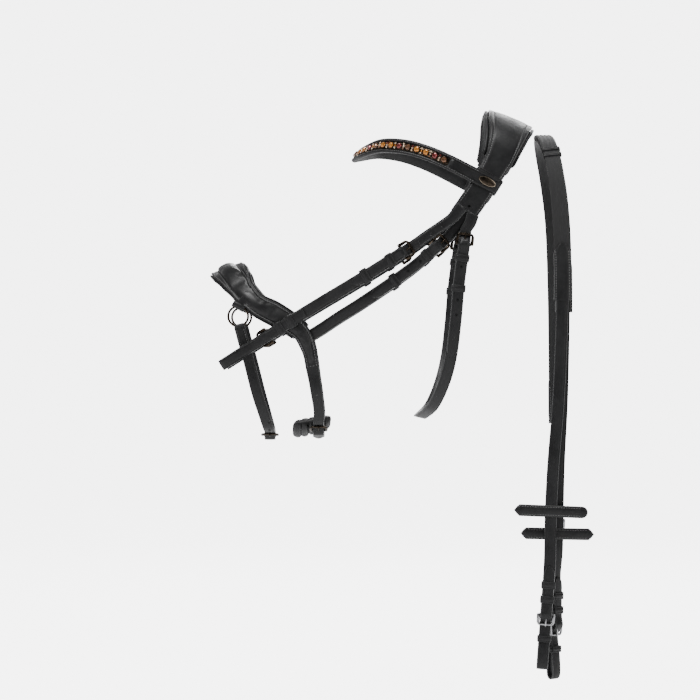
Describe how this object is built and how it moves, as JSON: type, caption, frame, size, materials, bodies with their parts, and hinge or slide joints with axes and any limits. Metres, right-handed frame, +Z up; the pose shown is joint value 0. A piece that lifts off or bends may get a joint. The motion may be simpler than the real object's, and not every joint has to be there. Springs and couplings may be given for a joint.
{
  "type": "snaffle bridle",
  "caption": "Black leather bridle with padded crown, crystal browband, shaped noseband with lower strap, and web reins folded over the neck.",
  "frame": {"origin": "middle of the underside of the crown pad, where the bridle rests on the poll", "axes": "+Z up, -X towards the muzzle, +Y towards the right-hand side of the horse"},
  "size_m": [0.4841, 0.2446, 0.7194],
  "materials": {
    "leather": "satin",
    "soft_leather": "satin",
    "webbing": "matte",
    "dark_bronze": "gloss",
    "bright_steel": "polished",
    "crystal": "gloss"
  },
  "bodies": {
    "headstall": {"crown_piece": "leather", "crown_pad": "soft_leather", "noseband_headstrap": "leather", "browband": "leather", "browband_crystals": "crystal"},
    "noseband": {"noseband_billet_left": "leather", "noseband_billet_right": "leather", "noseband_hanger_left": "leather", "noseband_hanger_right": "leather", "noseband_buckle_left": "dark_bronze", "noseband_buckle_right": "dark_bronze", "nosepiece": "leather", "nose_pad": "soft_leather", "chin_pad": "soft_leather", "chin_buckle_left": "dark_bronze", "chin_buckle_right": "dark_bronze"},
    "throatlatch": {"throatlatch": "leather", "throat_billet_left": "leather", "throat_billet_right": "leather", "throat_buckle_left": "dark_bronze", "throat_buckle_right": "dark_bronze"},
    "lower_strap": {"lower_strap_left": "leather", "lower_strap_right": "leather", "lower_buckle": "dark_bronze"},
    "reins": {"rein_left": "webbing", "rein_right": "webbing", "rein_buckle_left": "bright_steel", "rein_buckle_right": "bright_steel", "hand_buckle": "bright_steel"},
    "cheek_left": {"cheek_billet_left": "leather", "cheekpiece_left": "leather", "cheek_buckle_left": "dark_bronze", "bit_buckle_left": "dark_bronze"},
    "cheek_tongue_left": {"cheek_tongue_left": "dark_bronze"},
    "bit_tongue_left": {"bit_tongue_left": "dark_bronze"},
    "noseband_tongue_left": {"noseband_tongue_left": "dark_bronze"},
    "throat_tongue_left": {"throat_tongue_left": "dark_bronze"},
    "chin_tongue_left": {"chin_tongue_left": "dark_bronze"},
    "cheek_runner_left": {"cheek_runner_left": "leather"},
    "noseband_runner_left": {"noseband_runner_left": "leather"},
    "nose_ring_left": {"nose_ring_left": "dark_bronze"},
    "rein_stop_left": {"rein_stop_left": "leather"},
    "rein_tongue_left": {"rein_tongue_left": "bright_steel"},
    "cheek_right": {"cheek_billet_right": "leather", "cheekpiece_right": "leather", "cheek_buckle_right": "dark_bronze", "bit_buckle_right": "dark_bronze"},
    "cheek_tongue_right": {"cheek_tongue_right": "dark_bronze"},
    "bit_tongue_right": {"bit_tongue_right": "dark_bronze"},
    "noseband_tongue_right": {"noseband_tongue_right": "dark_bronze"},
    "throat_tongue_right": {"throat_tongue_right": "dark_bronze"},
    "chin_tongue_right": {"chin_tongue_right": "dark_bronze"},
    "cheek_runner_right": {"cheek_runner_right": "leather"},
    "noseband_runner_right": {"noseband_runner_right": "leather"},
    "nose_ring_right": {"nose_ring_right": "dark_bronze"},
    "rein_stop_right": {"rein_stop_right": "leather"},
    "rein_tongue_right": {"rein_tongue_right": "bright_steel"},
    "lower_tongue": {"lower_tongue": "dark_bronze"},
    "hand_tongue": {"hand_tongue": "bright_steel"}
  },
  "joints": [
    {"name": "noseband_swing", "type": "hinge", "parent": "headstall", "child": "noseband", "pos_m": [-0.0545, 0, -0.11], "axis": [0, 1, 0], "range_deg": [0, 8]},
    {"name": "throatlatch_swing", "type": "hinge", "parent": "headstall", "child": "throatlatch", "pos_m": [-0.047, 0, -0.112], "axis": [0, 1, 0], "range_deg": [0, 8]},
    {"name": "lower_strap_swing", "type": "hinge", "parent": "noseband", "child": "lower_strap", "pos_m": [-0.341, 0, -0.24], "axis": [0, 1, 0], "range_deg": [-5, 0]},
    {"name": "reins_lift_off", "type": "slide", "parent": "headstall", "child": "reins", "axis": [0, 0, 1], "range_m": [0, 0.15]},
    {"name": "cheek_swing_left", "type": "hinge", "parent": "headstall", "child": "cheek_left", "pos_m": [-0.062, -0.106, -0.106], "axis": [0, 1, 0], "range_deg": [0, 8]},
    {"name": "cheek_tongue_left_lift", "type": "hinge", "parent": "cheek_left", "child": "cheek_tongue_left", "pos_m": [-0.135, -0.10716, -0.161], "axis": [0.5333, 0, -0.8459], "range_deg": [0, 50]},
    {"name": "bit_tongue_left_lift", "type": "hinge", "parent": "cheek_left", "child": "bit_tongue_left", "pos_m": [-0.302, -0.07703, -0.264], "axis": [0.5359, 0, -0.8443], "range_deg": [0, 50]},
    {"name": "noseband_tongue_left_lift", "type": "hinge", "parent": "noseband", "child": "noseband_tongue_left", "pos_m": [-0.091, -0.09883, -0.153], "axis": [0.653, 0, -0.7574], "range_deg": [0, 50]},
    {"name": "throat_tongue_left_lift", "type": "hinge", "parent": "throatlatch", "child": "throat_tongue_left", "pos_m": [-0.0575, -0.1093, -0.151], "axis": [0.991, 0.0003, -0.1342], "range_deg": [0, 50]},
    {"name": "chin_tongue_left_lift", "type": "hinge", "parent": "noseband", "child": "chin_tongue_left", "pos_m": [-0.24, -0.03, -0.385], "axis": [1, 0, 0], "range_deg": [0, 50]},
    {"name": "cheek_runner_left_slide", "type": "slide", "parent": "cheek_left", "child": "cheek_runner_left", "axis": [-0.8426, 0.1439, -0.5189], "range_m": [-0.012, 0]},
    {"name": "noseband_runner_left_slide", "type": "slide", "parent": "noseband", "child": "noseband_runner_left", "axis": [-0.8144, 0.1175, -0.5683], "range_m": [-0.012, 0]},
    {"name": "nose_ring_left_turn", "type": "hinge", "parent": "noseband", "child": "nose_ring_left", "pos_m": [-0.341, -0.06442, -0.24], "axis": [0, 1, 0], "continuous": true},
    {"name": "rein_stop_left_slide", "type": "slide", "parent": "reins", "child": "rein_stop_left", "axis": [0.0381, 0.026, 0.9989], "range_m": [0, 0.02]},
    {"name": "rein_tongue_left_lift", "type": "hinge", "parent": "reins", "child": "rein_tongue_left", "pos_m": [0.044, -0.118, -0.611], "axis": [-0.9974, 0.0012, 0.0724], "range_deg": [0, 50]},
    {"name": "cheek_swing_right", "type": "hinge", "parent": "headstall", "child": "cheek_right", "pos_m": [-0.062, 0.106, -0.106], "axis": [0, 1, 0], "range_deg": [0, 8]},
    {"name": "cheek_tongue_right_lift", "type": "hinge", "parent": "cheek_right", "child": "cheek_tongue_right", "pos_m": [-0.135, 0.10716, -0.161], "axis": [-0.5333, 0, 0.8459], "range_deg": [0, 50]},
    {"name": "bit_tongue_right_lift", "type": "hinge", "parent": "cheek_right", "child": "bit_tongue_right", "pos_m": [-0.302, 0.07703, -0.264], "axis": [-0.5359, 0, 0.8443], "range_deg": [0, 50]},
    {"name": "noseband_tongue_right_lift", "type": "hinge", "parent": "noseband", "child": "noseband_tongue_right", "pos_m": [-0.091, 0.09883, -0.153], "axis": [-0.653, 0, 0.7574], "range_deg": [0, 50]},
    {"name": "throat_tongue_right_lift", "type": "hinge", "parent": "throatlatch", "child": "throat_tongue_right", "pos_m": [-0.0575, 0.1093, -0.151], "axis": [-0.991, 0.0003, 0.1342], "range_deg": [0, 50]},
    {"name": "chin_tongue_right_lift", "type": "hinge", "parent": "noseband", "child": "chin_tongue_right", "pos_m": [-0.24, 0.03, -0.385], "axis": [-1, 0, 0], "range_deg": [0, 50]},
    {"name": "cheek_runner_right_slide", "type": "slide", "parent": "cheek_right", "child": "cheek_runner_right", "axis": [-0.8426, -0.1439, -0.5189], "range_m": [-0.012, 0]},
    {"name": "noseband_runner_right_slide", "type": "slide", "parent": "noseband", "child": "noseband_runner_right", "axis": [-0.8144, -0.1175, -0.5683], "range_m": [-0.012, 0]},
    {"name": "nose_ring_right_turn", "type": "hinge", "parent": "noseband", "child": "nose_ring_right", "pos_m": [-0.341, 0.06442, -0.24], "axis": [0, 1, 0], "continuous": true},
    {"name": "rein_stop_right_slide", "type": "slide", "parent": "reins", "child": "rein_stop_right", "axis": [0.0182, 0.0227, 0.9996], "range_m": [0, 0.02]},
    {"name": "rein_tongue_right_lift", "type": "hinge", "parent": "reins", "child": "rein_tongue_right", "pos_m": [0.058, -0.092, -0.626], "axis": [-0.7023, -0.7117, -0.0167], "range_deg": [0, 50]},
    {"name": "lower_tongue_lift", "type": "hinge", "parent": "lower_strap", "child": "lower_tongue", "pos_m": [-0.302, -0.014, -0.391], "axis": [1, 0, 0], "range_deg": [0, 50]},
    {"name": "hand_tongue_lift", "type": "hinge", "parent": "reins", "child": "hand_tongue", "pos_m": [0.072, 0.1145, -0.505], "axis": [1, 0, 0], "range_deg": [0, 50]}
  ]
}
